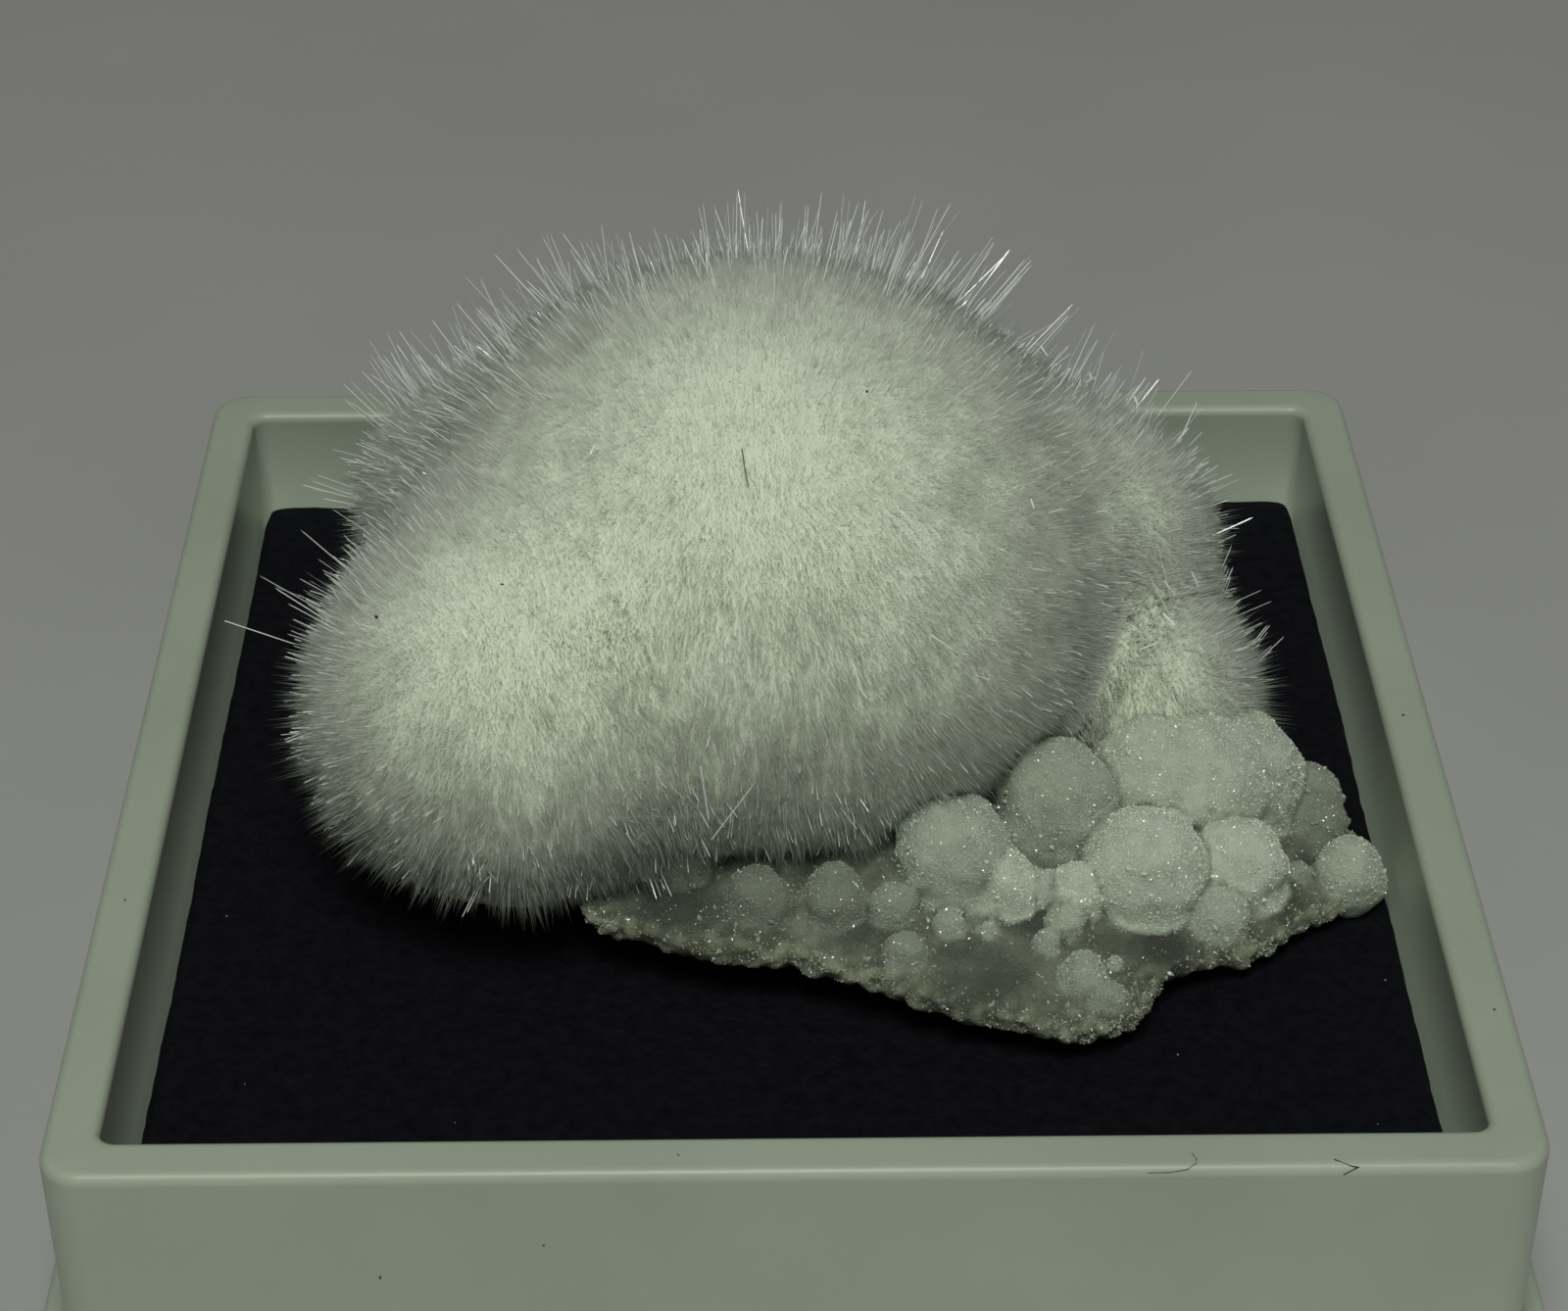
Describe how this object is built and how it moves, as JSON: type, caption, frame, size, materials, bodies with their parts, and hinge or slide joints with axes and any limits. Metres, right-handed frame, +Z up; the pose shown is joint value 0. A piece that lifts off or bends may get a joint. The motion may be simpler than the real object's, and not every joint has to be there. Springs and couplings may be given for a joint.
{
  "type": "okenite puffball specimen in a display box",
  "caption": "Silky white okenite puffballs on a lumpy quartz crust, resting on black foam in the white plastic base of a small display box.",
  "frame": {"origin": "middle of the box's underside", "axes": "+Z up out of the box; -Y towards the front wall; the medium puffball lies towards -X and the bare crust towards +X"},
  "size_m": [0.0424, 0.0424, 0.0253],
  "materials": {
    "white_plastic": "moulded polystyrene, satin",
    "black_foam": "fine-celled foam, matt",
    "quartz_crust": "translucent drusy crystals, glassy glints",
    "okenite_fibre": "silky radiating fibres"
  },
  "bodies": {
    "root": {"display_box_base": "white_plastic", "foam_pad": "black_foam", "matrix": "quartz_crust", "okenite_puffballs": "okenite_fibre"}
  },
  "joints": []
}
